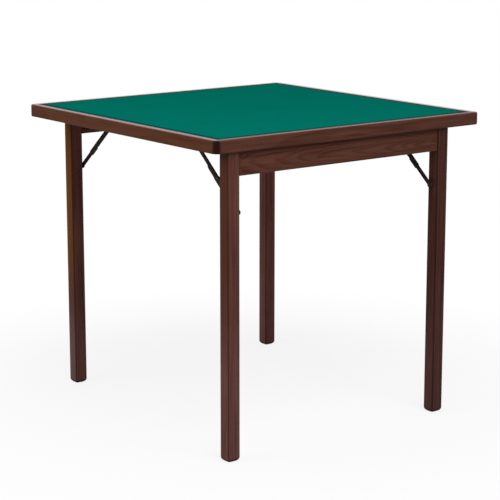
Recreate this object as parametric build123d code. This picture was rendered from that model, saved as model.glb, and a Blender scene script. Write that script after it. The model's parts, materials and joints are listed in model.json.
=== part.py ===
from build123d import *
import math
import os

os.makedirs("parts", exist_ok=True)

# Folding card table. Sizes in millimetres, +Z up, floor at zero, origin at the middle of the
# footprint. X runs along the two aprons, the front of the table faces -Y.

# Overall sizes
table_side = 800.0
table_height = 744.0

# Rim of the top
rim_height = 30.0
rim_border = 20.0
rim_ledge = 42.0
rim_corner_radius = 18.0
rim_edge_radius = 4.0
rim_bottom_chamfer = 1.5
rim_lip_chamfer = 1.0

# Playing board and its cloth
board_thickness = 12.0
board_edge_gap = 1.6
cloth_thickness = 1.2
cloth_drop = 0.8

# Legs
leg_width = 33.6
leg_depth = 31.6
leg_setback = 6.7
leg_near_inset = 36.7
leg_far_inset = 99.7
leg_edge_radius = 3.2
leg_foot_chamfer = 2.6
leg_top_gap = 0.4

# Aprons between the legs
apron_thickness = 18.0
apron_height = 55.0
apron_setback = 2.5
apron_end_gap = 0.6
apron_edge_radius = 2.5
tongue_thickness = 8.0
tongue_height = 8.0
tongue_end_setback = 24.0
glue_gap = 0.1

# Butt hinges
hinge_length = 24.0
knuckle_radius = 3.0
knuckle_count = 3
knuckle_gap = 0.2
knuckle_clearance = 0.4
leaf_thickness = 1.6
leaf_width = 17.0
pin_radius = 1.5
running_gap = 0.08

# Locking stays, two arms each
stay_pivot_drop = 139.0
stay_fold_gap = 14.0
stay_tail = 44.0
stay_lip_start = 9.0
arm_thickness = 2.0
arm_face_gap = 0.3
arm_end_reach = 6.9
wide_arm_up = 5.4
wide_arm_down = 7.5
wide_arm_corner = 5.7
tail_clip = 5.0
narrow_arm_half = 5.4
narrow_arm_corner = 5.3
lip_thickness = 1.8
lip_overhang = 0.2
lip_outer_chamfer = 1.2
lip_join = 2.0

# Pivots of the stays
pivot_radius = 3.0
stud_head_radius = 5.6
stud_head_height = 2.4
rivet_head_radius = 4.8
rivet_head_height = 1.8
mid_head_radius = 5.0
mid_head_height = 1.7
stay_standoff = 4.5

# Angle brackets under the board
bracket_thickness = 2.0
bracket_lip_gap = 0.7
bracket_flange = 20.0
bracket_width = 26.0
bracket_eye_radius = 6.2
bracket_bend_radius = 2.4

# Turns
quarter_turn = 90.0
half_turn = 180.0

# Levels
rim_bottom = table_height - rim_height
board_top = table_height - cloth_drop - cloth_thickness
board_bottom = board_top - board_thickness
half_side = table_side / 2

# Where the legs stand
left_face = -half_side + leg_near_inset + leg_width
right_face = half_side - leg_far_inset - leg_width
leg_outer_y = -half_side + leg_setback
leg_inner_y = leg_outer_y + leg_depth
leg_height = rim_bottom - leg_top_gap

# Hinge line of a front leg
hinge_y = leg_inner_y + knuckle_radius
hinge_z = rim_bottom - knuckle_radius

# Stay pivots seen along X, the folded pivot lies straight under the fixed one
stud_y = leg_outer_y + leg_depth / 2
stud_z = rim_bottom - stay_pivot_drop
folded_stud_y = hinge_y + (hinge_z - stud_z)
folded_stud_z = hinge_z + (stud_y - hinge_y)
top_pivot_y = folded_stud_y
top_pivot_z = folded_stud_z + stay_fold_gap
stay_span = math.hypot(top_pivot_y - stud_y, top_pivot_z - stud_z)
stay_slope = math.degrees(math.atan2(top_pivot_z - stud_z, top_pivot_y - stud_y))
arm_length = stay_span / 2

# Layers of a stay, counted from the inner side face of its leg
wide_layer = stay_standoff + arm_face_gap
wide_layer_end = wide_layer + arm_thickness
narrow_layer = wide_layer_end + arm_face_gap
narrow_layer_end = narrow_layer + arm_thickness
lip_end = narrow_layer_end + lip_overhang
bracket_layer = narrow_layer_end + bracket_lip_gap
bracket_layer_end = bracket_layer + bracket_thickness

corners = ("front_left", "front_right", "rear_left", "rear_right")


def block(x_low, x_high, y_low, y_high, z_low, z_high):
    """Box between two corners."""
    box = Box(x_high - x_low, y_high - y_low, z_high - z_low)
    return Pos((x_low + x_high) / 2, (y_low + y_high) / 2, (z_low + z_high) / 2) * box


def square_plate(side, z_low, z_high):
    """Square slab centred on the table."""
    return block(-side / 2, side / 2, -side / 2, side / 2, z_low, z_high)


def x_cylinder(radius, x_low, x_high, y, z):
    """Cylinder along X between two stations."""
    rod = Pos(0, 0, (x_high - x_low) / 2) * Cylinder(radius, x_high - x_low)
    return Pos(x_low, y, z) * (Rot(0, quarter_turn, 0) * rod)


def at_leg(shape, corner):
    """Move a shape from leg coordinates to its corner, X counted from the inner side face."""
    if corner in ("front_right", "rear_left"):
        placed = Pos(right_face, 0, 0) * mirror(shape, about=Plane.YZ)
    else:
        placed = Pos(left_face, 0, 0) * shape
    if corner.startswith("rear"):
        placed = Rot(0, 0, half_turn) * placed
    return placed


def wide_arm_is_low(corner):
    """The stays are turned end for end on neighbouring legs."""
    return corner in ("front_left", "rear_right")


# Top
def apron_span():
    """Ends of the front apron along X."""
    return left_face + apron_end_gap, right_face - apron_end_gap


def apron_centre_y():
    return leg_outer_y + apron_setback + apron_thickness / 2


def tongue(extra):
    """Tongue on the top edge of the front apron, or its groove when enlarged."""
    start, end = apron_span()
    half = tongue_thickness / 2 + extra
    centre = apron_centre_y()
    return block(
        start + tongue_end_setback - extra,
        end - tongue_end_setback + extra,
        centre - half,
        centre + half,
        rim_bottom,
        rim_bottom + tongue_height + extra,
    )


def front_apron():
    start, end = apron_span()
    centre = apron_centre_y()
    half = apron_thickness / 2
    board = block(start, end, centre - half, centre + half, rim_bottom - apron_height, rim_bottom)
    lower_edges = board.faces().sort_by(Axis.Z)[0].edges().filter_by(Axis.X)
    board = fillet(lower_edges, apron_edge_radius)
    return board + tongue(0)


def rim_frame():
    """Rounded square frame with the rebate that holds the playing board."""
    frame = extrude(RectangleRounded(table_side, table_side, rim_corner_radius), rim_height)
    faces = frame.faces().sort_by(Axis.Z)
    frame = fillet(faces[-1].edges(), rim_edge_radius)
    frame = chamfer(frame.faces().sort_by(Axis.Z)[0].edges(), rim_bottom_chamfer)
    frame = Pos(0, 0, rim_bottom) * frame
    rebate_side = table_side - 2 * rim_border
    frame -= square_plate(rebate_side, board_bottom, table_height)
    upper = frame.faces().filter_by(Plane.XY).sort_by(Axis.Z)[-1]
    inner_edges = upper.inner_wires()[0].edges()
    frame = chamfer(inner_edges, rim_lip_chamfer)
    opening_side = rebate_side - 2 * rim_ledge
    frame -= square_plate(opening_side, rim_bottom, board_bottom)
    return frame


def front_rail(frame):
    """Front quarter of the rim, mitred at both ends and grooved for the apron."""
    wedge = make_face(
        Polyline((0, 0), (-table_side, -table_side), (table_side, -table_side), close=True)
    )
    wedge = extrude(wedge, table_height)
    return (frame & wedge) - tongue(glue_gap)


def left_rail(frame):
    wedge = make_face(
        Polyline((0, 0), (-table_side, table_side), (-table_side, -table_side), close=True)
    )
    return frame & extrude(wedge, table_height)


# Legs
def leg():
    """Square leg with rounded arrises and a bevelled foot."""
    outline = RectangleRounded(leg_width, leg_depth, leg_edge_radius)
    post = extrude(outline, leg_height)
    post = chamfer(post.faces().sort_by(Axis.Z)[0].edges(), leg_foot_chamfer)
    return Pos(-leg_width / 2, stud_y, 0) * post


# Hinges
def knuckle_spans(first):
    """Stations along X of every second knuckle, starting at the given one."""
    pitch = hinge_length / knuckle_count
    start = -leg_width / 2 - hinge_length / 2
    spans = []
    for index in range(first, knuckle_count, 2):
        low = start + index * pitch + knuckle_gap / 2
        spans.append((low, low + pitch - knuckle_gap))
    return spans


def hinge_leaf(first):
    """Leaf hanging from its knuckles, axis at the origin, back face toward -Y."""
    start = -leg_width / 2 - hinge_length / 2
    plate_top = -knuckle_radius - knuckle_clearance
    back = -knuckle_radius
    front = back + leaf_thickness
    leaf = block(start, start + hinge_length, back, front, -leaf_width, plate_top)
    for low, high in knuckle_spans(first):
        leaf += block(low, high, back, front, plate_top, 0)
        leaf += x_cylinder(knuckle_radius, low, high, 0, 0)
    return leaf


def leg_leaf():
    """Leaf on the leg, its middle knuckle bored to turn on the pin."""
    start = -leg_width / 2 - hinge_length / 2
    bore = x_cylinder(pin_radius + running_gap, start, start + hinge_length, 0, 0)
    return Pos(0, hinge_y, hinge_z) * (hinge_leaf(1) - bore)


def top_leaf():
    """Leaf against the underside of the rim, reaching inward, with the pin its knuckles grip."""
    turned_leaf = Rot(quarter_turn, 0, 0) * mirror(hinge_leaf(0), about=Plane.XZ)
    first, last = knuckle_spans(0)
    turned_leaf += x_cylinder(pin_radius, first[1], last[0], 0, 0)
    return Pos(0, hinge_y, hinge_z) * turned_leaf


# Stays
def bar_outline(u_low, u_high, v_low, v_high):
    """Square-ended outline of an arm, u along the arm and v across it."""
    outline = Rectangle(u_high - u_low, v_high - v_low)
    return Pos((u_low + u_high) / 2, (v_low + v_high) / 2) * outline


def plate(outline, x_low, x_high):
    """Flat plate in the plane of a stay between two stations along X."""
    return Pos(x_low, 0, 0) * (Plane.YZ * extrude(outline, x_high - x_low))


def aim(shape, y, z, angle):
    """Turn an arm built along +Y about X and carry its pivot to a point."""
    return Pos(0, y, z) * (Rot(angle, 0, 0) * shape)


def pivot_bore(x_low, x_high, u):
    return x_cylinder(pivot_radius + running_gap, x_low, x_high, u, 0)


def wide_arm(lip_side):
    """Arm with a tail beyond the middle rivet, which is peened flush on this side, and with a
    lip along one edge of that tail."""
    reach = arm_length + stay_tail
    low, high = -wide_arm_down, wide_arm_up
    outline = bar_outline(-arm_end_reach, reach, low, high)
    outline = fillet(outline.vertices().sort_by(Axis.X)[:2], wide_arm_corner)
    outline = chamfer(outline.vertices().sort_by(Axis.X)[-2:], tail_clip)
    arm = plate(outline, wide_layer, wide_layer_end)
    lip_start = arm_length + stay_lip_start
    arm -= block(wide_layer, wide_layer_end, lip_start, reach, low, low + lip_join)
    section = Rectangle(lip_end - wide_layer, lip_join + lip_thickness)
    section = Pos((lip_end + wide_layer) / 2, low + (lip_join + lip_thickness) / 2) * section
    pocket = Rectangle(lip_end - wide_layer_end, lip_join)
    pocket = Pos((lip_end + wide_layer_end) / 2, low + lip_thickness + lip_join / 2) * pocket
    section -= pocket
    corner_point = section.vertices().sort_by_distance((wide_layer, low))[0]
    section = chamfer(corner_point, lip_outer_chamfer)
    lip_length = reach - tail_clip - lip_start
    lip = Plane.XZ * extrude(section, -lip_length)
    arm += Pos(0, lip_start, 0) * lip
    arm -= pivot_bore(wide_layer, wide_layer_end, 0)
    if lip_side < 0:
        return arm
    return mirror(arm, about=Plane.XY)


def narrow_arm():
    """Plain arm with the head of the middle rivet, away from the leg."""
    reach = arm_length + arm_end_reach
    outline = bar_outline(-arm_end_reach, reach, -narrow_arm_half, narrow_arm_half)
    outline = fillet(outline.vertices(), narrow_arm_corner)
    arm = plate(outline, narrow_layer, narrow_layer_end)
    arm -= pivot_bore(narrow_layer, narrow_layer_end, 0)
    head_end = narrow_layer_end + mid_head_height
    return arm + x_cylinder(mid_head_radius, narrow_layer_end, head_end, arm_length, 0)


def lower_aim(shape):
    return aim(shape, stud_y, stud_z, stay_slope)


def upper_aim(shape):
    return aim(shape, top_pivot_y, top_pivot_z, stay_slope + half_turn)


def placed_wide_arm(corner):
    if wide_arm_is_low(corner):
        return lower_aim(wide_arm(-1))
    return upper_aim(wide_arm(1))


def placed_narrow_arm(corner):
    if wide_arm_is_low(corner):
        return upper_aim(narrow_arm())
    return lower_aim(narrow_arm())


def leg_stud(corner):
    """Headed stud in the leg that carries the lower end of a stay."""
    layer = wide_layer if wide_arm_is_low(corner) else narrow_layer
    head_start = layer + arm_thickness + arm_face_gap
    head_end = head_start + stud_head_height
    shank = x_cylinder(pivot_radius, 0, head_start, stud_y, stud_z)
    return shank + x_cylinder(stud_head_radius, head_start, head_end, stud_y, stud_z)


def top_rivet(corner):
    """Headed rivet on the bracket that carries the upper end of a stay."""
    layer = narrow_layer if wide_arm_is_low(corner) else wide_layer
    head_end = layer - arm_face_gap
    head_start = head_end - rivet_head_height
    shank = x_cylinder(pivot_radius, head_end, bracket_layer, top_pivot_y, top_pivot_z)
    return shank + x_cylinder(rivet_head_radius, head_start, head_end, top_pivot_y, top_pivot_z)


def bracket():
    """Bent steel angle under the board with a tapered ear for the stay."""
    drop = board_bottom - top_pivot_z
    section = Polyline(
        (bracket_layer, -drop - bracket_eye_radius),
        (bracket_layer, 0),
        (bracket_layer_end + bracket_flange, 0),
        (bracket_layer_end + bracket_flange, -bracket_thickness),
        (bracket_layer_end, -bracket_thickness),
        (bracket_layer_end, -drop - bracket_eye_radius),
        close=True,
    )
    section = make_face(section)
    bend = section.vertices().sort_by_distance((bracket_layer, 0))[0]
    section = fillet(bend, bracket_bend_radius)
    angle = Plane.XZ * extrude(section, bracket_width)
    angle = Pos(0, bracket_width / 2, 0) * angle
    half = bracket_width / 2
    ear = make_hull(
        (Pos(0, -drop) * Circle(bracket_eye_radius)).edges()
        + Polyline((-half, -bracket_thickness), (half, -bracket_thickness), (half, 0),
                   (-half, 0), close=True).edges()
    )
    ear = extrude(ear, bracket_layer_end + bracket_flange)
    angle = angle & (Plane.YZ * ear)
    return Pos(0, top_pivot_y, board_bottom) * angle


# Board and cloth
def board_side():
    return table_side - 2 * (rim_border + board_edge_gap)


def playing_board():
    return square_plate(board_side(), board_bottom, board_top)


def playing_cloth():
    return square_plate(board_side(), board_top, board_top + cloth_thickness)


def save(shape, name):
    """Write one named piece, or several like rivets as separate solids."""
    if isinstance(shape, list):
        shape = Compound(children=shape)
    export_step(shape, "parts/" + name + ".step")


def build():
    frame = rim_frame()
    front = front_rail(frame)
    side = left_rail(frame)
    save(front, "rim_rail_front")
    save(Rot(0, 0, half_turn) * front, "rim_rail_rear")
    save(side, "rim_rail_left")
    save(Rot(0, 0, half_turn) * side, "rim_rail_right")
    save(playing_board(), "playing_board")
    save(playing_cloth(), "playing_cloth")
    save(front_apron(), "apron_front")
    save(Rot(0, 0, half_turn) * front_apron(), "apron_rear")

    short_rivets = []
    long_rivets = []
    for corner in corners:
        save(at_leg(leg(), corner), "leg_" + corner)
        save(at_leg(leg_leaf(), corner), "hinge_leg_leaf_" + corner)
        save(at_leg(top_leaf(), corner), "hinge_top_leaf_" + corner)
        save(at_leg(leg_stud(corner), corner), "stay_leg_stud_" + corner)
        save(at_leg(placed_wide_arm(corner), corner), "stay_wide_arm_" + corner)
        save(at_leg(placed_narrow_arm(corner), corner), "stay_narrow_arm_" + corner)
        save(at_leg(bracket(), corner), "stay_bracket_" + corner)
        rivets = short_rivets if wide_arm_is_low(corner) else long_rivets
        rivets.append(at_leg(top_rivet(corner), corner))
    save(short_rivets, "stay_top_rivets_short")
    save(long_rivets, "stay_top_rivets_long")


build()
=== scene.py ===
"""Studio scene of a folding card table.

A baize top in a stained wooden rim stands on four legs that fold under it on jointed stays.
Sizes are in metres and named angles in degrees, unless a name says otherwise.
"""

import json
import logging
import math
from dataclasses import dataclass, replace
from enum import Enum
from typing import Any, Optional, Sequence, Union

import bmesh
import bpy
from mathutils import Matrix, Vector


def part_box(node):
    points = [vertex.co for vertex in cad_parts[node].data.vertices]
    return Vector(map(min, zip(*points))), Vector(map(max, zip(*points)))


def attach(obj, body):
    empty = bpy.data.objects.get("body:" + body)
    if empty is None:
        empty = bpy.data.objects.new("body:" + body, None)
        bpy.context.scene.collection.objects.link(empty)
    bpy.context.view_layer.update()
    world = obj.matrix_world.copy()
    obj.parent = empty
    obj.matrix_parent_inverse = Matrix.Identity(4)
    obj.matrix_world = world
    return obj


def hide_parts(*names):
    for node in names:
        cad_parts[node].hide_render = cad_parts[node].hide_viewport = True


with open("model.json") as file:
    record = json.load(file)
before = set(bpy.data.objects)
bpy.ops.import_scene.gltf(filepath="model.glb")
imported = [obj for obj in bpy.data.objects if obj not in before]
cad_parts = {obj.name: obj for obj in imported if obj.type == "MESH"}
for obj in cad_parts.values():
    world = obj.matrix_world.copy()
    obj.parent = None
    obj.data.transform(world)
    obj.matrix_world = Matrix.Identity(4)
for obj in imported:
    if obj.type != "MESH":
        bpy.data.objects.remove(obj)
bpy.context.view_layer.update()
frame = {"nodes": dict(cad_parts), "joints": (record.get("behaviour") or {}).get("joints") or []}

LOG = logging.getLogger("card_table")
HAIR = 1e-7  # places nearer than this are one
CREASE = 35.0  # edges that bend more than this are drawn sharp
EACH_WAY = (-0.5, 0.5)  # where the two screws of a pair stand, in parts of their spacing
DOWN = Vector((0, 0, -1))
WHITE = (1.0, 1.0, 1.0, 1.0)

Pair = tuple[float, float]
Span = tuple[float, float]  # where a rise starts and where it ends
Triple = tuple[float, float, float]
Colour = tuple[float, float, float]
Signal = Union["Wire", float, tuple[float, ...]]
Material = bpy.types.Material
Mesh = bmesh.types.BMesh
Solids = dict[str, bpy.types.Object]
Points = dict[str, Vector]


# Shader maths


class Wire:
    """A shader socket that takes part in Python arithmetic."""

    def __init__(self, bench: "Bench", socket: bpy.types.NodeSocket) -> None:
        """Keep the socket and the tree that it belongs to."""
        self.bench = bench
        self.socket = socket

    def _math(self, operation: str, *values: Signal) -> "Wire":
        """The result of a Math node with these inputs."""
        inputs = dict(enumerate(values))
        return self.bench.node("ShaderNodeMath", {"operation": operation}, inputs)

    def __add__(self, other: Signal) -> "Wire":
        """Sum."""
        return self._math("ADD", self, other)

    __radd__ = __add__

    def __sub__(self, other: Signal) -> "Wire":
        """Difference."""
        return self._math("SUBTRACT", self, other)

    def __rsub__(self, other: Signal) -> "Wire":
        """Difference with the number first."""
        return self._math("SUBTRACT", other, self)

    def __mul__(self, other: Signal) -> "Wire":
        """Product."""
        return self._math("MULTIPLY", self, other)

    __rmul__ = __mul__

    def __truediv__(self, other: Signal) -> "Wire":
        """Quotient."""
        return self._math("DIVIDE", self, other)

    def __rtruediv__(self, other: Signal) -> "Wire":
        """Quotient with the number first."""
        return self._math("DIVIDE", other, self)

    def __abs__(self) -> "Wire":
        """Size without its sign."""
        return self._math("ABSOLUTE", self)

    def beside(self, output: Union[int, str]) -> "Wire":
        """Another output of the same node."""
        return Wire(self.bench, self.socket.node.outputs[output])

    def root(self) -> "Wire":
        """Square root."""
        return self._math("SQRT", self)

    def fraction(self) -> "Wire":
        """Part after the decimal point."""
        return self._math("FRACT", self)

    def sway(self, depth: float) -> "Wire":
        """Noise that swings round 0 by half a depth."""
        return (self - 0.5) * depth

    def above(self, other: Signal) -> "Wire":
        """The larger of the two."""
        return self._math("MAXIMUM", self, other)

    def step(self, low: float, high: float) -> "Wire":
        """Smooth rise from 0 at low to 1 at high."""
        settings = {"interpolation_type": "SMOOTHSTEP"}
        return self.bench.node("ShaderNodeMapRange", settings, {0: self, 1: low, 2: high})


@dataclass(frozen=True)
class Noise:
    """A cloudy pattern: stretched part by part, moved by an offset, then scaled evenly."""

    stretch: Optional[Triple] = None
    offset: Optional[Triple] = None
    scale: float = 1.0
    detail: float = 2.0
    roughness: float = 0.5


class Bench:
    """The node tree of one material or world, with one way to add a node."""

    def __init__(self, owner: Union[Material, bpy.types.World]) -> None:
        """Empty the owner's tree.

        Args:
            owner: The material or world that the tree belongs to.
        """
        owner.use_nodes = True
        self.tree = owner.node_tree
        self.tree.nodes.clear()

    def node(
        self,
        kind: str,
        settings: Optional[dict[str, Any]] = None,
        inputs: Optional[dict[Union[int, str], Signal]] = None,
        output: Union[int, str] = 0,
    ) -> Optional[Wire]:
        """Add a node.

        Args:
            kind: The node's type.
            settings: Its properties, set before its sockets.
            inputs: Values or links by socket.
            output: Which output to return.

        Returns:
            That output, or None where the node has none.
        """
        made = self.tree.nodes.new(kind)
        for name, value in (settings or {}).items():
            setattr(made, name, value)
        for key, value in (inputs or {}).items():
            if isinstance(value, Wire):
                self.tree.links.new(value.socket, made.inputs[key])
            else:
                made.inputs[key].default_value = value
        return Wire(self, made.outputs[output]) if len(made.outputs) else None

    def place(self) -> Wire:
        """Object coordinates."""
        return self.node("ShaderNodeTexCoord", output="Object")

    def facing(self) -> Wire:
        """The surface's own direction, fixed to the object."""
        return self.node("ShaderNodeTexCoord", output="Normal")

    def split(self, vector: Wire) -> list[Wire]:
        """The three parts of a vector."""
        first = self.node("ShaderNodeSeparateXYZ", None, {0: vector})
        return [first.beside(part) for part in range(3)]

    def join(self, x: Signal, y: Signal, z: Signal) -> Wire:
        """A vector from three parts."""
        return self.node("ShaderNodeCombineXYZ", None, {0: x, 1: y, 2: z})

    def noise(self, vector: Wire, pattern: Noise) -> Wire:
        """Add cloudy noise.

        Args:
            vector: The coordinates that it is read at.
            pattern: Its settings.

        Returns:
            Values from 0 to 1.
        """
        for operation, by in (("MULTIPLY", pattern.stretch), ("ADD", pattern.offset)):
            if by:
                settings = {"operation": operation}
                vector = self.node("ShaderNodeVectorMath", settings, {0: vector, 1: by})
        inputs = {
            "Vector": vector,
            "Scale": pattern.scale,
            "Detail": pattern.detail,
            "Roughness": pattern.roughness,
        }
        return self.node("ShaderNodeTexNoise", None, inputs)

    def blend(self, share: Signal, first: Signal, second: Signal) -> Wire:
        """A colour between two others.

        Args:
            share: 0 for the first and 1 for the second.
            first: A colour.
            second: A colour.

        Returns:
            The mixed colour.
        """
        colours = [c if isinstance(c, Wire) else (*c, 1.0) for c in (first, second)]
        inputs = {0: share, 6: colours[0], 7: colours[1]}
        return self.node("ShaderNodeMix", {"data_type": "RGBA"}, inputs, output=2)

    def bump(self, height: Wire, strength: float, distance: float) -> Wire:
        """A surface normal raised by a height."""
        inputs = {"Strength": strength, "Distance": distance, "Height": height}
        return self.node("ShaderNodeBump", None, inputs)

    def surface(self, **inputs: Signal) -> None:
        """Finish the tree with a Principled surface.

        Args:
            inputs: Values or links by socket name, written with underscores.
        """
        named = {key.replace("_", " "): value for key, value in inputs.items()}
        shader = self.node("ShaderNodeBsdfPrincipled", None, named)
        self.node("ShaderNodeOutputMaterial", None, {"Surface": shader})


# Finishes


class Grain(Enum):
    """The direction that a board's fibres run, as the order of along, across and depth."""

    ALONG_X = (0, 1, 2)
    ALONG_Y = (1, 0, 2)
    ALONG_Z = (2, 0, 1)


@dataclass(frozen=True)
class StainedWood:
    """Close-grained hardwood under a dark walnut stain, satin on its sides and polished on top."""

    name: str
    grain: Grain
    seed: float = 0.0

    dark: Colour = (0.046, 0.0155, 0.0125)
    light: Colour = (0.138, 0.0545, 0.0440)
    warm: Colour = (0.150, 0.0530, 0.0270)
    # Painted side light: the colour that the cheek faces take for the light falling on them.
    golden: Colour = (0.128, 0.0420, 0.0070)
    # Pores and end grain soak up stain and go dark; the same dark is painted shade on the arrises,
    # and is drawn on the top's strip next to the cloth.
    soaked: Colour = (0.021, 0.0070, 0.0060)
    # Painted highlight on the top faces.
    rubbed: Colour = (0.230, 0.0880, 0.0800)
    # Painted reflection of the floor, paler and greyer, low on the legs.
    washed: Colour = (0.235, 0.1700, 0.1750)
    strength: float = 1.0

    pith_across: float = 0.03
    pith_depth: float = 0.05
    lean: float = 0.0
    drift: float = 0.030
    waver: float = 0.006
    ring_pitch: float = 0.0045
    late_rise: Span = (0.25, 0.88)
    late_fall: Span = (0.90, 1.0)

    end_facing: Span = (0.10, 0.52)
    cheek_facing: Span = (0.75, 0.97)
    up_facing: Span = (0.60, 0.98)
    arris_facing: Span = (0.08, 0.34)
    pore_rise: Span = (0.64, 0.78)

    tone: float = 0.60
    ring_depth: float = 0.30
    fibre_depth: float = 0.65
    streak_depth: float = 1.10
    cloud_depth: float = 0.60
    blush: float = 0.80
    blush_from: float = 0.40
    end_shade: float = 0.97
    arris_shade: float = 0.62
    pore_shade: float = 0.45

    # Share of painted side light on the cheek faces, and the height over which it rises.
    gold: float = 0.15
    gold_rise: Span = (-2.0, -1.0)
    # Share of painted floor reflection low on the legs, more on the cheek faces, and the height
    # over which it fades.
    wash: float = 0.0
    cheek_wash: float = 0.0
    wash_fall: Span = (0.08, 0.34)
    # Share of painted highlight on the top faces.
    wear: float = 0.0
    polish: float = 0.0
    seam: float = 0.0
    seam_fade: float = 0.0010

    roughness: float = 0.42
    fibre_roughness: float = 0.16
    pore_roughness: float = 0.12
    coat_roughness: float = 0.10
    gloss: float = 0.02
    fibre_relief: float = 0.60
    ring_relief: float = 0.15
    relief_strength: float = 0.22
    relief_depth: float = 0.00012

    drift_noise: Noise = Noise((2.2, 11.0, 11.0))
    waver_noise: Noise = Noise((16.0, 34.0, 34.0), detail=3.0)
    fibre_noise: Noise = Noise((14.0, 520.0, 520.0), roughness=0.6)
    streak_noise: Noise = Noise((4.5, 150.0, 150.0), detail=3.0, roughness=0.6)
    cloud_noise: Noise = Noise(scale=6.0, offset=(3.7, 1.9, 5.3))
    pore_noise: Noise = Noise((60.0, 1500.0, 1500.0), detail=1.0)

    def material(self) -> Material:
        """Build the wood.

        Returns:
            A material whose rings, fibres and pores follow the board's own direction.
        """
        made = bpy.data.materials.new(self.name)
        bench = Bench(made)
        parts = bench.split(bench.place())
        along, across, depth = (parts[i] for i in self.grain.value)
        board = bench.join(along + self.seed, across, depth)
        sides = bench.split(bench.facing())
        end_side, cheek_side, edge_side = (abs(sides[i]) for i in self.grain.value)
        end_grain = end_side.step(*self.end_facing)
        cheek = cheek_side.step(*self.cheek_facing)
        arris = (cheek_side * edge_side).step(*self.arris_facing)
        upward = sides[2].step(*self.up_facing)
        top = upward * abs(across).step(self.seam - self.seam_fade, self.seam)

        late_wood = self.late_wood(bench, board, (along, across, depth))
        fibre = bench.noise(board, self.fibre_noise)
        streak = bench.noise(board, self.streak_noise)
        cloud = bench.noise(board, self.cloud_noise)
        pores = bench.noise(board, self.pore_noise).step(*self.pore_rise)

        tone = (
            self.tone
            - late_wood * self.ring_depth
            + fibre.sway(self.fibre_depth)
            + streak.sway(self.streak_depth)
            + cloud.sway(self.cloud_depth)
        )
        dark, light, warm, golden, soaked = (
            tuple(part * self.strength for part in colour)
            for colour in (self.dark, self.light, self.warm, self.golden, self.soaked)
        )
        stain = bench.blend(tone, dark, light)
        stain = bench.blend((streak - self.blush_from) * self.blush, stain, warm)
        # Painted side light on the cheek faces, rising up the legs; on the front-left leg it is a
        # darker painted shade.
        stain = bench.blend(cheek * along.step(*self.gold_rise) * self.gold, stain, golden)
        # Painted highlight on the top faces, clear of the strip next to the cloth.
        stain = bench.blend(top * self.wear, stain, self.rubbed)
        # Painted reflection of the floor, paler and greyer toward the foot.
        if self.wash:
            low_down = 1.0 - along.step(*self.wash_fall)
            share = low_down * (cheek * self.cheek_wash + self.wash)
            stain = bench.blend(share, stain, self.washed)

        # Dark of end grain, painted shade on the arrises, and the top's strip next to the cloth
        # drawn dark.
        edges = (end_grain * self.end_shade).above(arris * self.arris_shade).above(upward - top)
        matt = fibre.sway(self.fibre_roughness) + pores * self.pore_roughness
        height = fibre * self.fibre_relief - pores + late_wood * self.ring_relief
        bench.surface(
            Base_Color=bench.blend(pores * self.pore_shade + edges, stain, soaked),
            Roughness=matt + self.roughness,
            Specular_IOR_Level=self.gloss,
            Coat_Weight=top * self.polish if self.polish else 0.0,
            Coat_Roughness=self.coat_roughness,
            Normal=bench.bump(height, self.relief_strength, self.relief_depth),
        )
        return made

    def late_wood(self, bench: Bench, board: Wire, parts: Sequence[Wire]) -> Wire:
        """Draw the rings round the pith.

        Args:
            bench: The material's tree.
            board: The board's coordinates, moved along by its seed.
            parts: Distance along, across and in depth.

        Returns:
            1 in the dark late wood of each ring, and 0 in its early wood.
        """
        along, across, depth = parts
        drift = bench.noise(board, self.drift_noise)
        waver = bench.noise(board, self.waver_noise)
        off_across = across + along * self.lean + drift * self.drift - self.pith_across
        off_depth = depth + waver * self.waver - self.pith_depth
        radius = (off_across * off_across + off_depth * off_depth).root()
        ring = (radius / self.ring_pitch).fraction()
        return ring.step(*self.late_rise) - ring.step(*self.late_fall)


class Timber(Enum):
    """The kinds of board in the table, before each board gets its name and its own looks."""

    RAIL = StainedWood("rail", Grain.ALONG_X, pith_across=0.31, pith_depth=0.62, arris_shade=0.10)
    END_RAIL = replace(RAIL, name="end_rail", grain=Grain.ALONG_Y)
    APRON = StainedWood(
        "apron",
        Grain.ALONG_X,
        strength=0.81,
        lean=0.050,
        waver=0.020,
        ring_pitch=0.0034,
        ring_depth=0.40,
        arris_shade=0.10,
    )
    LEG = StainedWood("leg", Grain.ALONG_Z, ring_depth=0.22, gold_rise=(0.12, 0.60), wash=0.05)

    def board(self, name: str, **own: Any) -> StainedWood:
        """One board of this kind, with its own name and what sets it apart."""
        return replace(self.value, name=name, **own)


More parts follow.
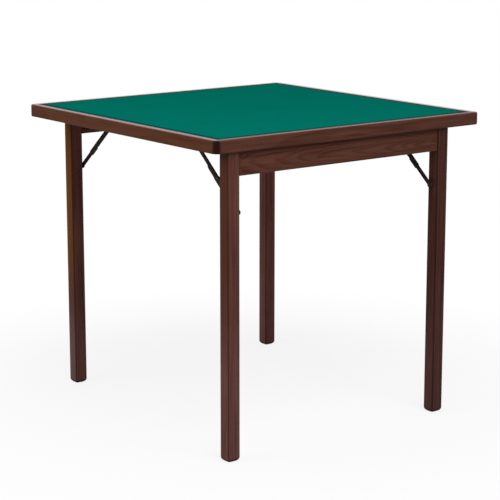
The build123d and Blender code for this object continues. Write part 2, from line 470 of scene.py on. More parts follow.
@dataclass(frozen=True)
class Baize:
    """Short-napped wool cloth in a blue green."""

    edge: float
    name: str = "green_baize"
    dark: Colour = (0.0, 0.090, 0.068)
    light: Colour = (0.0006, 0.143, 0.108)
    # Painted shade along the cloth's edge next to the rim, and a wider painted shadow along the
    # front and the left edges.
    pressed: Colour = (0.0, 0.033, 0.025)
    pressed_width: float = 0.007
    pressed_shade: float = 0.75
    brushed_width: float = 0.018
    brushed_shade: float = 0.80
    tone: float = 0.56
    nap_depth: float = 0.90
    lint_depth: float = 0.35
    mottle_depth: float = 0.34
    roughness: float = 0.96
    nap_relief: float = 0.70
    lint_relief: float = 0.30
    relief_strength: float = 0.40
    relief_depth: float = 0.0004
    nap_noise: Noise = Noise(scale=1500.0, detail=3.0, roughness=0.65)
    lint_noise: Noise = Noise((1.0, 2.6, 1.0), scale=420.0)
    mottle_noise: Noise = Noise(scale=9.0, detail=3.0)

    def material(self) -> Material:
        """Build the cloth.

        Returns:
            Felted fibres with a soft mottle, painted shade along the edge next to the rim, and a
            wider painted shadow along the front and the left edges.
        """
        made = bpy.data.materials.new(self.name)
        bench = Bench(made)
        place = bench.place()
        x, y, _ = bench.split(place)
        nap = bench.noise(place, self.nap_noise)
        lint = bench.noise(place, self.lint_noise)
        mottle = bench.noise(place, self.mottle_noise)
        tone = (
            self.tone
            + nap.sway(self.nap_depth)
            + lint.sway(self.lint_depth)
            + mottle.sway(self.mottle_depth)
        )
        # Painted shade all round the edge, and painted shadow along the front and the left edges.
        pressed = self.border(abs(x).above(abs(y)), self.pressed_width)
        brushed = self.border((0.0 - x).above(0.0 - y), self.brushed_width)
        shade = (pressed * self.pressed_shade).above(brushed * self.brushed_shade)
        wool = bench.blend(tone, self.dark, self.light)
        height = nap * self.nap_relief + lint * self.lint_relief
        bench.surface(
            Base_Color=bench.blend(shade, wool, self.pressed),
            Roughness=self.roughness,
            Specular_IOR_Level=0.0,
            Normal=bench.bump(height, self.relief_strength, self.relief_depth),
        )
        return made

    def border(self, from_middle: Wire, width: float) -> Wire:
        """1 in the outer half of a strip along the cloth's edge, fading over its inner half."""
        return from_middle.step(self.edge - width, self.edge - width / 2)


@dataclass(frozen=True)
class Plywood:
    """Rotary-cut birch veneer, oiled, on the underside of the playing board."""

    name: str = "board_ply"
    dark: Colour = (0.235, 0.130, 0.062)
    light: Colour = (0.400, 0.250, 0.135)
    band_count: float = 26.0
    band_rise: Span = (0.10, 0.80)
    band_fall: Span = (0.84, 1.0)
    tone: float = 0.72
    band_depth: float = 0.30
    fibre_depth: float = 0.60
    roughness: float = 0.62
    fibre_roughness: float = 0.15
    gloss: float = 0.25
    relief_strength: float = 0.25
    relief_depth: float = 0.0002
    swirl_noise: Noise = Noise((2.0, 7.0, 7.0))
    fibre_noise: Noise = Noise((16.0, 520.0, 520.0))

    def material(self) -> Material:
        """Build the veneer.

        Returns:
            A material with the broad wild figure of rotary-cut wood.
        """
        made = bpy.data.materials.new(self.name)
        bench = Bench(made)
        place = bench.place()
        bands = (bench.noise(place, self.swirl_noise) * self.band_count).fraction()
        figure = bands.step(*self.band_rise) - bands.step(*self.band_fall)
        fibre = bench.noise(place, self.fibre_noise)
        tone = self.tone - figure * self.band_depth + fibre.sway(self.fibre_depth)
        bench.surface(
            Base_Color=bench.blend(tone, self.dark, self.light),
            Roughness=self.roughness + fibre.sway(self.fibre_roughness),
            Specular_IOR_Level=self.gloss,
            Normal=bench.bump(fibre, self.relief_strength, self.relief_depth),
        )
        return made


@dataclass(frozen=True)
class Steel:
    """Steel, plain or blackened, faintly cloudy and gritty, with rubbed spots."""

    name: str
    dark: Colour
    light: Colour
    roughness: float
    metallic: float
    sheen: float = 0.5
    rub: float = 0.5
    rub_rise: Span = (0.54, 0.70)
    tone: float = 0.26
    cloud_depth: float = 0.80
    grit_depth: float = 0.40
    cloud_roughness: float = 0.22
    grit_roughness: float = 0.10
    cloud_relief: float = 0.40
    grit_relief: float = 0.60
    relief_strength: float = 0.20
    relief_depth: float = 0.0001
    cloud_noise: Noise = Noise(scale=60.0, detail=3.0)
    grit_noise: Noise = Noise(scale=1400.0)
    rub_noise: Noise = Noise(scale=170.0, detail=4.0, offset=(0.4, 0.1, 0.7))

    def material(self) -> Material:
        """Build the metal.

        Returns:
            A material whose clouds, grit and rubbed spots go from dark to light.
        """
        made = bpy.data.materials.new(self.name)
        bench = Bench(made)
        place = bench.place()
        cloud = bench.noise(place, self.cloud_noise)
        grit = bench.noise(place, self.grit_noise)
        rubbed = bench.noise(place, self.rub_noise).step(*self.rub_rise)
        tone = (
            self.tone
            + cloud.sway(self.cloud_depth)
            + grit.sway(self.grit_depth)
            + rubbed * self.rub
        )
        matt = cloud.sway(self.cloud_roughness) + grit.sway(self.grit_roughness)
        height = grit * self.grit_relief + cloud * self.cloud_relief
        bench.surface(
            Base_Color=bench.blend(tone, self.dark, self.light),
            Metallic=self.metallic,
            Roughness=matt + self.roughness,
            Specular_IOR_Level=self.sheen,
            Normal=bench.bump(height, self.relief_strength, self.relief_depth),
        )
        return made


class Metal(Enum):
    """The table's three metal finishes."""

    STAY = Steel(
        "stay_black",
        dark=(0.0082, 0.0049, 0.0033),
        light=(0.068, 0.039, 0.021),
        roughness=0.46,
        metallic=0.08,
        sheen=0.02,
    )
    RIVET = Steel(
        "rivet_black",
        dark=(0.0080, 0.0060, 0.0046),
        light=(0.070, 0.050, 0.034),
        roughness=0.40,
        metallic=0.35,
        sheen=0.10,
    )
    HINGE = Steel(
        "hinge_satin",
        dark=(0.200, 0.185, 0.165),
        light=(0.430, 0.405, 0.370),
        roughness=0.40,
        metallic=1.0,
        rub=0.3,
    )

    def look(self) -> Material:
        """The finish's material, made once and shared by its pieces."""
        return bpy.data.materials.get(self.value.name) or self.value.material()


# Small turned and pressed pieces


@dataclass(frozen=True)
class Spot:
    """Where a small piece sits: its seat, the way it faces, and its turn about that in degrees."""

    seat: Vector
    facing: Vector
    turn: float = 0.0

    def matrix(self) -> Matrix:
        """Work out the move from the origin, where pieces are built upward, to this spot.

        Returns:
            The turn, the aim and the move to the seat in one.
        """
        aim = self.facing.to_track_quat("Z", "Y").to_matrix().to_4x4()
        spin = Matrix.Rotation(math.radians(self.turn), 4, "Z")
        return Matrix.Translation(self.seat) @ aim @ spin


def settle(name: str, mesh: Mesh, finish: Material) -> bpy.types.Object:
    """Turn a mesh in the making into an object of the scene.

    Args:
        name: The object's name.
        mesh: The mesh; it is used up.
        finish: Its material.

    Returns:
        The new object, standing at the origin.
    """
    data = bpy.data.meshes.new(name)
    mesh.to_mesh(data)
    mesh.free()
    data.materials.append(finish)
    made = bpy.data.objects.new(name, data)
    bpy.context.scene.collection.objects.link(made)
    return made


class Fitting:
    """A mesh in the making that ends as an object riding on one body."""

    def __init__(self, name: str) -> None:
        """Start an empty mesh."""
        self.name = name
        self.mesh = bmesh.new()

    def keep(self, part: Mesh, spot: Spot) -> None:
        """Move a finished part to its spot and add it to this mesh.

        Args:
            part: The part, built upward on the origin; it is used up.
            spot: Where it goes.
        """
        bmesh.ops.recalc_face_normals(part, faces=part.faces)
        bmesh.ops.transform(part, matrix=spot.matrix(), verts=part.verts)
        shell = bpy.data.meshes.new("shell")
        part.to_mesh(shell)
        part.free()
        self.mesh.from_mesh(shell)
        bpy.data.meshes.remove(shell)

    def finish(self, body: str, finish: Material, slot: str) -> bpy.types.Object:
        """Turn the mesh into a piece.

        Args:
            body: The body that it rides on.
            finish: Its material.
            slot: The record's material slot; not used.

        Returns:
            The new object, standing at the origin.
        """
        for face in self.mesh.faces:
            face.smooth = True
        for edge in self.mesh.edges:
            if len(edge.link_faces) == 2 and edge.calc_face_angle() > math.radians(CREASE):
                edge.smooth = False
        made = settle(self.name, self.mesh, finish)
        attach(made, body)
        LOG.info("%s: %d faces on %s", self.name, len(made.data.polygons), body)
        return made


def cut(part: Mesh, point: Triple, normal: Triple, clear: bool = False) -> None:
    """Cut a part along a plane.

    Args:
        part: The part.
        point: A point of the plane.
        normal: The plane's direction.
        clear: Whether what lies behind the plane goes.
    """
    everything = part.verts[:] + part.edges[:] + part.faces[:]
    bmesh.ops.bisect_plane(
        part, geom=everything, dist=HAIR, plane_co=point, plane_no=normal, clear_inner=clear
    )


def carry_edge(part: Mesh, spread: float, level: float) -> None:
    """Carry a part's free edge on to a wider outline at a given level.

    Args:
        part: The part in the making, centred on the origin.
        spread: How much wider the new outline is.
        level: Its height.
    """
    rim = [edge for edge in part.edges if edge.is_boundary]
    grown = bmesh.ops.extrude_edge_only(part, edges=rim)["geom"]
    fresh = [item for item in grown if isinstance(item, bmesh.types.BMVert)]
    bmesh.ops.scale(part, vec=(spread, spread, 1.0), verts=fresh)
    bmesh.ops.translate(part, vec=(0, 0, level - fresh[0].co.z), verts=fresh)


def dome(radius: float, height: float, segments: int = 32) -> Mesh:
    """Make a closed low dome that stands on the origin.

    Args:
        radius: Radius at its foot.
        height: Height at its crown.
        segments: Sides round the dome.

    Returns:
        The dome.
    """
    ball = bmesh.new()
    bmesh.ops.create_uvsphere(ball, u_segments=segments, v_segments=segments // 2, radius=1.0)
    cut(ball, (0, 0, 0), (0, 0, 1), clear=True)
    bmesh.ops.contextual_create(ball, geom=[edge for edge in ball.edges if edge.is_boundary])
    bmesh.ops.scale(ball, vec=(radius, radius, height), verts=ball.verts)
    return ball


@dataclass(frozen=True)
class Screw:
    """A countersunk screw with a raised slotted head."""

    radius: float
    height: float
    slot_width: float
    slot_depth: float
    segments: int = 28

    def head(self) -> Mesh:
        """Make what shows of the screw.

        Returns:
            The slotted head, standing on the origin.
        """
        head = dome(self.radius, self.height, self.segments)
        level, half = self.height - self.slot_depth, self.slot_width / 2
        cut(head, (0, 0, level), (0, 0, 1))
        cut(head, (0, half, 0), (0, 1, 0))
        cut(head, (0, -half, 0), (0, 1, 0))
        strip = [
            face for face in head.faces
            if all(abs(v.co.y) < half + HAIR and v.co.z > level - HAIR for v in face.verts)
        ]
        bmesh.ops.delete(head, geom=strip, context="FACES")
        for side in (half, -half):
            wall = [
                edge for edge in head.edges
                if edge.is_boundary and all(abs(v.co.y - side) < HAIR for v in edge.verts)
            ]
            ends = {v for edge in wall for v in edge.verts if abs(v.co.z - level) < HAIR}
            sill = bmesh.ops.contextual_create(head, geom=list(ends))["edges"]
            bmesh.ops.contextual_create(head, geom=wall + sill)
        bmesh.ops.contextual_create(head, geom=[e for e in head.edges if e.is_boundary])
        return head


def sleeve(inner: float, outer: float, length: float, ease: float, segments: int = 36) -> Mesh:
    """Make a spacer sleeve that stands on the origin, its rims eased.

    Args:
        inner: Inner radius.
        outer: Outer radius.
        length: Length.
        ease: Width of the bevel at each rim.
        segments: Sides round the sleeve.

    Returns:
        The sleeve.
    """
    ring = bmesh.new()
    bmesh.ops.create_circle(ring, segments=segments, radius=outer)
    lower = ring.edges[:]
    upper = [
        item for item in bmesh.ops.extrude_edge_only(ring, edges=lower)["geom"]
        if isinstance(item, bmesh.types.BMEdge) and item.is_boundary
    ]
    bmesh.ops.translate(ring, verts=list({v for e in upper for v in e.verts}), vec=(0, 0, length))
    bmesh.ops.solidify(ring, geom=ring.faces[:], thickness=outer - inner)
    rims = [
        edge for edge in ring.edges
        if abs(edge.verts[0].co.z - edge.verts[1].co.z) < HAIR
        and edge.calc_face_angle(0.0) > math.radians(CREASE)
    ]
    bmesh.ops.bevel(
        ring, geom=rims, offset=ease, segments=2, profile=0.5, affect="EDGES", material=-1
    )
    return ring


# Sub-assemblies


@dataclass
class Tabletop:
    """The fixed top: four mitred rails, playing board, cloth and the two aprons."""

    cloth_thickness: float = 0.0012
    cloth_turn: float = 0.0011
    cloth_tuck: float = 0.007
    turn_steps: int = 5
    weave_cells: int = 48
    # Each rail has its own coat, its own share of painted top highlight and, on the left rail,
    # more painted side light.
    rails: tuple[StainedWood, ...] = (
        Timber.RAIL.board("rim_rail_front", seed=0.4, strength=0.74, polish=0.19, wear=0.20),
        Timber.RAIL.board("rim_rail_rear", seed=3.5, strength=0.78, polish=0.95, wear=0.45),
        Timber.END_RAIL.board(
            "rim_rail_left", seed=6.6, strength=0.74, polish=0.42, wear=0.45, gold=0.40
        ),
        Timber.END_RAIL.board("rim_rail_right", seed=9.7, strength=0.80, polish=0.95, wear=0.45),
    )
    seam_width: float = 0.0054
    aprons: tuple[StainedWood, ...] = (
        Timber.APRON.board("apron_front", seed=7.3),
        Timber.APRON.board("apron_rear", seed=10.2),
    )
    apron_pith: Pair = (0.035, 0.002)

    def build(self, nodes: Solids) -> None:
        """Dress the wooden nodes and stretch the cloth over the board.

        Args:
            nodes: The solids by name.
        """
        self.dress_boards(nodes)
        dress(nodes["playing_board"], Plywood().material())
        self.stretch_cloth()

    def dress_boards(self, nodes: Solids) -> None:
        """Dress the rails, and the aprons in flat-sawn boards whose rings show as flames.

        Args:
            nodes: The solids by name.
        """
        _, cloth_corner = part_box("playing_cloth")
        seam = cloth_corner.x + self.seam_width
        for rail in self.rails:
            dress(nodes[rail.name], replace(rail, seam=seam).material())
        behind, above = self.apron_pith
        for apron in self.aprons:
            name = apron.name
            low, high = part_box(name)
            face = low.y if low.y < 0 else high.y
            middle = (low.z + high.z) / 2
            wood = replace(apron, pith_across=face + behind, pith_depth=middle + above)
            dress(nodes[name], wood.material())

    def stretch_cloth(self) -> bpy.types.Object:
        """Stretch the cloth flat over the board and tuck it down round the board's edges.

        Returns:
            The cloth, which stands for the plain slab.
        """
        low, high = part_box("playing_cloth")
        half = (high.x - low.x) / 2
        flat_half = half - self.cloth_turn
        cells = self.weave_cells
        cloth = bmesh.new()
        bmesh.ops.create_grid(cloth, x_segments=cells, y_segments=cells, size=flat_half)
        bmesh.ops.translate(cloth, verts=cloth.verts, vec=(0, 0, high.z))
        bend = self.cloth_turn + self.cloth_thickness
        reach = flat_half
        for step in range(1, self.turn_steps + 1):
            angle = math.pi / 2 * step / self.turn_steps
            out = flat_half + bend * math.sin(angle)
            carry_edge(cloth, out / reach, high.z - bend * (1 - math.cos(angle)))
            reach = out
        carry_edge(cloth, 1.0, high.z - self.cloth_tuck)
        for face in cloth.faces:
            face.smooth = True
        made = settle("baize_sheet", cloth, Baize(half).material())
        body = made.modifiers.new("thickness", "SOLIDIFY")
        body.thickness = self.cloth_thickness
        body.offset = -1.0
        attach(made, "top")
        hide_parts("playing_cloth")
        return made


class Corner(Enum):
    """The four corners, by the way along X from leg to stay and the way along Y inward."""

    FRONT_LEFT = (1.0, 1.0)
    FRONT_RIGHT = (-1.0, 1.0)
    REAR_LEFT = (1.0, -1.0)
    REAR_RIGHT = (-1.0, -1.0)

    @property
    def label(self) -> str:
        """The corner's name as the nodes write it."""
        return self.name.lower()

    @property
    def inward_x(self) -> Vector:
        """From the leg toward its stay."""
        return Vector((self.value[0], 0, 0))

    @property
    def inward_y(self) -> Vector:
        """From the leg toward the middle of the table."""
        return Vector((0, self.value[1], 0))

    @property
    def wide_arm_low(self) -> bool:
        """True where the wide arm is the one on the leg."""
        return self in (Corner.FRONT_LEFT, Corner.REAR_RIGHT)


@dataclass
class FoldingLeg:
    """One leg with its domed foot and its hinge, and the screws that hold the hinge's leaves."""

    corner: Corner
    wood: StainedWood
    pith_reach: Pair = (0.055, 0.045)
    arris_radius: float = 0.0032
    arris_steps: int = 4
    sole_radius: float = 0.0054
    foot_radius: float = 0.0105
    foot_steps: int = 8
    leaf_thickness: float = 0.0016
    screw_spacing: float = 0.013
    screw_reach: float = 0.0102
    screw: Screw = Screw(radius=0.0027, height=0.0008, slot_width=0.0007, slot_depth=0.00055)
    leg_screw_turns: Pair = (24.0, -38.0)
    rim_screw_turns: Pair = (74.0, 12.0)

    def build(self, nodes: Solids, joints: Points) -> None:
        """Dome the leg's foot, dress the leg and its hinge, and drive the screws.

        Args:
            nodes: The solids by name.
            joints: Where each joint's axis passes.
        """
        label = self.corner.label
        low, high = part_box("leg_" + label)
        wood = replace(
            self.wood,
            pith_across=(low.x + high.x) / 2 + self.pith_reach[0],
            pith_depth=(low.y + high.y) / 2 + self.pith_reach[1],
        )
        finish = wood.material()
        dress(nodes["leg_" + label], finish)
        self.round_foot(finish)
        dress(nodes["hinge_leg_leaf_" + label], Metal.HINGE.look())
        dress(nodes["hinge_top_leaf_" + label], Metal.HINGE.look())
        self.drive_screws(joints["fold_" + label])

    def round_foot(self, finish: Material) -> bpy.types.Object:
        """Make the leg anew in the same space, its foot domed instead of bevelled.

        Args:
            finish: The leg's wood.

        Returns:
            The leg, which stands for the plain one.
        """
        node = "leg_" + self.corner.label
        low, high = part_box(node)
        size = high - low
        post = bmesh.new()
        rings = []
        for step in range(self.foot_steps + 1):
            angle = math.pi / 2 * step / self.foot_steps
            share = 1 - math.sin(angle)
            arris = self.arris_radius + (self.sole_radius - self.arris_radius) * share
            level = self.foot_radius * (1 - math.cos(angle))
            rings.append(self.outline(post, size, self.foot_radius * share, arris, level))
        rings.append(self.outline(post, size, 0.0, self.arris_radius, size.z))
        between = [ring[0].link_faces[0] for ring in rings[1:-1]]
        bmesh.ops.delete(post, geom=between, context="FACES_ONLY")
        for lower, upper in zip(rings, rings[1:]):
            bmesh.ops.bridge_loops(post, edges=lower + upper)
        fitting = Fitting("domed_" + node)
        seat = Vector(((low.x + high.x) / 2, (low.y + high.y) / 2, low.z))
        fitting.keep(post, Spot(seat, Vector((0, 0, 1))))
        made = fitting.finish(node, finish, "leg_wood")
        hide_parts(node)
        return made

    def outline(
        self, post: Mesh, size: Vector, inset: float, arris: float, level: float
    ) -> list[bmesh.types.BMEdge]:
        """Add one level section of the leg.

        Args:
            post: The leg in the making.
            size: The leg's full size.
            inset: How far the section stands in from the leg's faces.
            arris: Radius of its corners.
            level: Its height.

        Returns:
            The edges round the section.
        """
        corners = bmesh.ops.create_grid(post, x_segments=1, y_segments=1, size=0.5)["verts"]
        spread = (size.x - 2 * inset, size.y - 2 * inset, 1.0)
        bmesh.ops.scale(post, vec=spread, verts=corners)
        bmesh.ops.translate(post, vec=(0, 0, level), verts=corners)
        ring = bmesh.ops.bevel(
            post, geom=corners, offset=arris, segments=self.arris_steps,
            profile=0.5, affect="VERTICES", material=-1,
        )["verts"]
        return list({edge for vert in ring for edge in vert.link_edges})

    def drive_screws(self, axis: Vector) -> None:
        """Screw the hinge's lower leaf to the leg and its upper leaf to the rim.

        Args:
            axis: A point of the hinge's axis, midway along it.
        """
        label, inward = self.corner.label, self.corner.value[1]
        low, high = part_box("hinge_leg_leaf_" + label)
        face = (low.y if inward > 0 else high.y) + inward * self.leaf_thickness
        _, leaf_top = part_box("hinge_top_leaf_" + label)
        on_leg = Fitting("leg_leaf_screws_" + label)
        on_rim = Fitting("rim_leaf_screws_" + label)
        for side, leg_turn, rim_turn in zip(EACH_WAY, self.leg_screw_turns, self.rim_screw_turns):
            x = axis.x + side * self.screw_spacing
            seat = Vector((x, face, axis.z - self.screw_reach))
            on_leg.keep(self.screw.head(), Spot(seat, self.corner.inward_y, leg_turn))
            y = axis.y + inward * self.screw_reach
            seat = Vector((x, y, leaf_top.z - self.leaf_thickness))
            on_rim.keep(self.screw.head(), Spot(seat, DOWN, rim_turn))
        on_leg.finish("leg_" + label, Metal.HINGE.look(), "hinge_steel")
        on_rim.finish("top", Metal.HINGE.look(), "hinge_steel")


@dataclass
class Stay:
    """One locking stay: two arms, the bracket under the board, and the rivets and stud.

    A rivet's head or end is given as its radius and the height of its crown.
    """

    corner: Corner
    stud_crown: float = 0.0010
    middle_head: Pair = (0.0050, 0.0009)
    middle_end: Pair = (0.0042, 0.0005)
    top_head: Pair = (0.0048, 0.0007)
    top_end: Pair = (0.0040, 0.0012)
    sleeve_inner: float = 0.00305
    sleeve_outer: float = 0.0046
    sleeve_gap: float = 0.0003
    sleeve_ease: float = 0.0004
    bracket_thickness: float = 0.0020
    screw_inset: float = 0.0100
    screw_spacing: float = 0.0130
    screw: Screw = Screw(radius=0.0030, height=0.0010, slot_width=0.0008, slot_depth=0.0007)
    screw_turns: Pair = (12.0, 67.0)

    def build(self, nodes: Solids, joints: Points) -> None:
        """Dress the arms and add the rivets' crowns, the sleeve and the bracket's screws.

        Args:
            nodes: The solids by name.
            joints: Where each joint's axis passes.
        """
        label = self.corner.label
        for name in ("stay_wide_arm_", "stay_narrow_arm_", "stay_bracket_"):
            dress(nodes[name + label], Metal.STAY.look())
        dress(nodes["stay_leg_stud_" + label], Metal.RIVET.look())
        stud, top = joints["stay_lower_" + label], joints["stay_upper_" + label]
        self.crown_stud(stud)
        self.crown_middle((stud + top) / 2)
        self.crown_top(top)
        self.slip_sleeve(stud)
        self.screw_bracket(top)

    def far_side(self, node: str) -> float:
        """The X of a node's side away from its leg."""
        low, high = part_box(node + self.corner.label)
        return high.x if self.corner.value[0] > 0 else low.x

    def near_side(self, node: str) -> float:
        """The X of a node's side toward its leg."""
        low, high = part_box(node + self.corner.label)
        return low.x if self.corner.value[0] > 0 else high.x

    def fasten(self, name: str, body: str, *parts: tuple[Mesh, Spot]) -> None:
        """Add parts of the stay's rivets and stud as one piece.

        Args:
            name: The piece's name without its corner.
            body: The body that it rides on.
            parts: Each part with its spot.
        """
        fitting = Fitting(name + self.corner.label)
        for part, spot in parts:
            fitting.keep(part, spot)
        fitting.finish(body, Metal.RIVET.look(), "stay_rivet_steel")

    def spot(self, x: float, pivot: Vector, away: int = 1) -> Spot:
        """A place on a pivot's axis that faces away from the leg, or toward it if away is -1."""
        return Spot(Vector((x, pivot.y, pivot.z)), away * self.corner.inward_x)

    def crown_stud(self, stud: Vector) -> None:
        """Round the head of the stud on the leg.

        Args:
            stud: The pivot on the leg.
        """
        low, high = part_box("stay_leg_stud_" + self.corner.label)
        crown = dome((high.z - low.z) / 2, self.stud_crown)
        spot = self.spot(self.far_side("stay_leg_stud_"), stud)
        self.fasten("stud_crown_", "leg_" + self.corner.label, (crown, spot))

    def crown_middle(self, middle: Vector) -> None:
        """Round the middle rivet's head, and show its peened end on the other arm.

        Args:
            middle: The pivot between the arms.
        """
        label = self.corner.label
        wide, narrow = "upper_arm_" + label, "lower_arm_" + label
        if self.corner.wide_arm_low:
            wide, narrow = narrow, wide
        head = dome(*self.middle_head)
        spot = self.spot(self.far_side("stay_narrow_arm_"), middle)
        self.fasten("middle_rivet_crown_", narrow, (head, spot))
        flush = dome(*self.middle_end)
        spot = self.spot(self.near_side("stay_wide_arm_"), middle, away=-1)
        self.fasten("middle_rivet_end_", wide, (flush, spot))

    def crown_top(self, top: Vector) -> None:
        """Round the top rivet's head and peen its tail behind the bracket.

        Args:
            top: The pivot on the bracket.
        """
        side = self.corner.value[0]
        node = "stay_top_rivets_short" if self.corner.wide_arm_low else "stay_top_rivets_long"
        low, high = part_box(node)
        head = dome(*self.top_head)
        head_spot = self.spot(low.x if side > 0 else high.x, top, away=-1)
        tail = dome(*self.top_end)
        ear_back = self.near_side("stay_bracket_") + side * self.bracket_thickness
        tail_spot = self.spot(ear_back, top)
        self.fasten("top_rivet_crowns_", "top", (head, head_spot), (tail, tail_spot))

    def slip_sleeve(self, stud: Vector) -> None:
        """Slip the spacer sleeve over the stud, between the leg and the arm.

        Args:
            stud: The pivot on the leg.
        """
        start = self.near_side("stay_leg_stud_")
        arm = "stay_wide_arm_" if self.corner.wide_arm_low else "stay_narrow_arm_"
        length = abs(self.near_side(arm) - start) - self.sleeve_gap
        spacer = sleeve(self.sleeve_inner, self.sleeve_outer, length, self.sleeve_ease)
        self.fasten("stud_sleeve_", "leg_" + self.corner.label, (spacer, self.spot(start, stud)))

    def screw_bracket(self, top: Vector) -> None:
        """Screw the bracket's flange up into the board.

        Args:
            top: The pivot on the bracket.
        """
        _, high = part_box("stay_bracket_" + self.corner.label)
        line = self.far_side("stay_bracket_") - self.corner.value[0] * self.screw_inset
        fitting = Fitting("bracket_screws_" + self.corner.label)
        for side, turn in zip(EACH_WAY, self.screw_turns):
            y = top.y + side * self.screw_spacing
            seat = Vector((line, y, high.z - self.bracket_thickness))
            fitting.keep(self.screw.head(), Spot(seat, DOWN, turn))
        fitting.finish("top", Metal.STAY.look(), "stay_steel")


def dress(node: bpy.types.Object, finish: Material) -> None:
    """Give a solid its finish.

    Args:
        node: The solid.
        finish: Its material.
    """
    node.data.materials.clear()
    node.data.materials.append(finish)
    LOG.info("%s: finished in %s", node.name, finish.name)


# Studio


@dataclass(frozen=True)
class Stand:
    """Where a lamp or the camera stands: how far round from the front, how far up, and how far."""

    name: str
    azimuth: float
    elevation: float
    distance: float

    def put(self, data: bpy.types.ID, target: Triple) -> bpy.types.Object:
        """Stand a light or camera here.

        Args:
            data: The light's or camera's data.
            target: The point that it looks at.

        Returns:
            The new object.
        """
        turn, rise = math.radians(self.azimuth), math.radians(self.elevation)
        level = math.cos(rise)
        back = Vector((math.sin(turn) * level, -math.cos(turn) * level, math.sin(rise)))
        made = bpy.data.objects.new(self.name, data)
        made.rotation_mode = "QUATERNION"
        made.location = Vector(target) + back * self.distance
        made.rotation_quaternion = back.to_track_quat("Z", "Y")
        bpy.context.scene.collection.objects.link(made)
        return made


@dataclass(frozen=True)
class Lamp:
    """A square soft lamp."""

    stand: Stand
    width: float
    power: float

    def hang(self, target: Triple) -> None:
        """Hang the lamp.

        Args:
            target: The point that it lights.
        """
        data = bpy.data.lights.new(self.stand.name, "AREA")
        data.shape = "SQUARE"
        data.size = self.width
        data.energy = self.power
        self.stand.put(data, target)


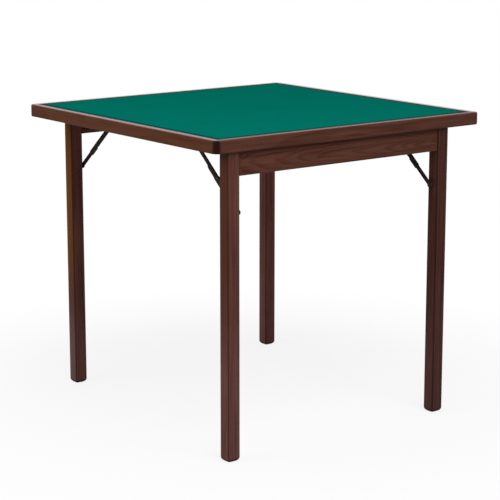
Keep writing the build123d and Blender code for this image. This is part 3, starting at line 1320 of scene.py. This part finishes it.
@dataclass
class Studio:
    """Pale floor, white surroundings, soft lamps and the camera."""

    view: Stand = Stand("camera", azimuth=-37.322, elevation=12.092, distance=4.4008)
    view_target: Triple = (0.0001, 0.0026, 0.3827)
    lamp_target: Triple = (0.0, 0.0, 0.383)
    lens_mm: float = 125.42
    sensor_mm: float = 36.0
    floor_size: float = 60.0
    floor_white: float = 0.62
    floor_glow: float = 0.86
    shadow_reach: Span = (0.45, 1.30)
    sky_level: float = 0.30
    lamps: tuple[Lamp, ...] = (
        Lamp(Stand("side_lamp", -98.0, 36.0, distance=2.9), width=2.0, power=43.0),
        Lamp(Stand("front_lamp", -12.0, 54.0, distance=4.4), width=2.6, power=166.0),
    )

    def build(self) -> None:
        """Set up the floor, the surroundings, the lamps and the camera."""
        self.lay_floor()
        self.wrap_sky()
        for lamp in self.lamps:
            lamp.hang(self.lamp_target)
        self.place_camera()
        bpy.context.scene.view_settings.view_transform = "Standard"

    @staticmethod
    def seen_directly(bench: Bench) -> Wire:
        """Tell the rays that are seen from those that only light the scene.

        Args:
            bench: The tree that asks.

        Returns:
            1 for rays from the camera, reflections and glass, and 0 for light.
        """
        camera = bench.node("ShaderNodeLightPath", output="Is Camera Ray")
        mirrored = camera.above(camera.beside("Is Glossy Ray"))
        return mirrored.above(camera.beside("Is Transmission Ray"))

    def lay_floor(self) -> None:
        """Lay a pale floor that keeps the table's shadow."""
        finish = bpy.data.materials.new("studio_floor")
        bench = Bench(finish)
        white = self.floor_white
        matt = bench.node("ShaderNodeBsdfDiffuse", None, {"Color": (white, white, white, 1.0)})
        glow = bench.node("ShaderNodeEmission", None, {"Color": WHITE, "Strength": 1.0})
        x, y, _ = bench.split(bench.place())
        away = (x * x + y * y).root().step(*self.shadow_reach)
        share = self.seen_directly(bench) * (away * (1.0 - self.floor_glow) + self.floor_glow)
        mixed = bench.node("ShaderNodeMixShader", None, {0: share, 1: matt, 2: glow})
        bench.node("ShaderNodeOutputMaterial", None, {"Surface": mixed})
        sheet = bmesh.new()
        bmesh.ops.create_grid(sheet, x_segments=1, y_segments=1, size=self.floor_size / 2)
        floor = settle("studio_floor", sheet, finish)

    def wrap_sky(self) -> None:
        """Surround the table with soft white light on a white background."""
        world = bpy.data.worlds.new("studio")
        bpy.context.scene.world = world
        bench = Bench(world)
        dim = {"Color": WHITE, "Strength": self.sky_level}
        light = bench.node("ShaderNodeBackground", None, dim)
        seen = bench.node("ShaderNodeBackground", None, {"Color": WHITE, "Strength": 1.0})
        share = self.seen_directly(bench)
        mixed = bench.node("ShaderNodeMixShader", None, {0: share, 1: light, 2: seen})
        bench.node("ShaderNodeOutputWorld", None, {"Surface": mixed})

    def place_camera(self) -> None:
        """Stand the camera where the photograph was taken from."""
        data = bpy.data.cameras.new(self.view.name)
        data.lens = self.lens_mm
        data.sensor_width = self.sensor_mm
        data.clip_end = self.floor_size
        bpy.context.scene.camera = self.view.put(data, self.view_target)


# Each leg's own painted side light and painted floor reflection, set to how the light falls on
# that leg; on the front-left leg the painted side light is a darker painted shade.
LEG_WOODS: dict[Corner, StainedWood] = {
    Corner.FRONT_LEFT: Timber.LEG.board(
        "leg_front_left",
        seed=11.0,
        strength=1.05,
        gold=0.90,
        golden=(0.060, 0.0205, 0.0100),
        gold_rise=(0.16, 0.53),
        wash=0.06,
        wash_fall=(0.12, 0.42),
    ),
    Corner.FRONT_RIGHT: Timber.LEG.board(
        "leg_front_right", seed=12.7, strength=0.61, wash=0.03, cheek_wash=0.02
    ),
    Corner.REAR_LEFT: Timber.LEG.board(
        "leg_rear_left",
        seed=14.4,
        strength=0.87,
        gold=1.0,
        gold_rise=(0.16, 0.42),
        cheek_wash=0.17,
        wash_fall=(0.06, 0.25),
    ),
    Corner.REAR_RIGHT: Timber.LEG.board(
        "leg_rear_right",
        seed=16.1,
        strength=1.34,
        wash=0.08,
        cheek_wash=0.03,
        wash_fall=(0.14, 0.44),
    ),
}


def main() -> None:
    """Build the table's parts in order, then the studio round it."""
    logging.basicConfig(level=logging.INFO, format="%(name)s %(message)s")
    nodes = frame["nodes"]
    joints = {joint["name"]: Vector(joint["pos_m"]) for joint in frame["joints"]}
    Tabletop().build(nodes)
    for corner, wood in LEG_WOODS.items():
        FoldingLeg(corner, wood).build(nodes, joints)
        Stay(corner).build(nodes, joints)
    for name in ("stay_top_rivets_short", "stay_top_rivets_long"):
        dress(nodes[name], Metal.RIVET.look())
    Studio().build()


if __name__ == "__main__":
    main()
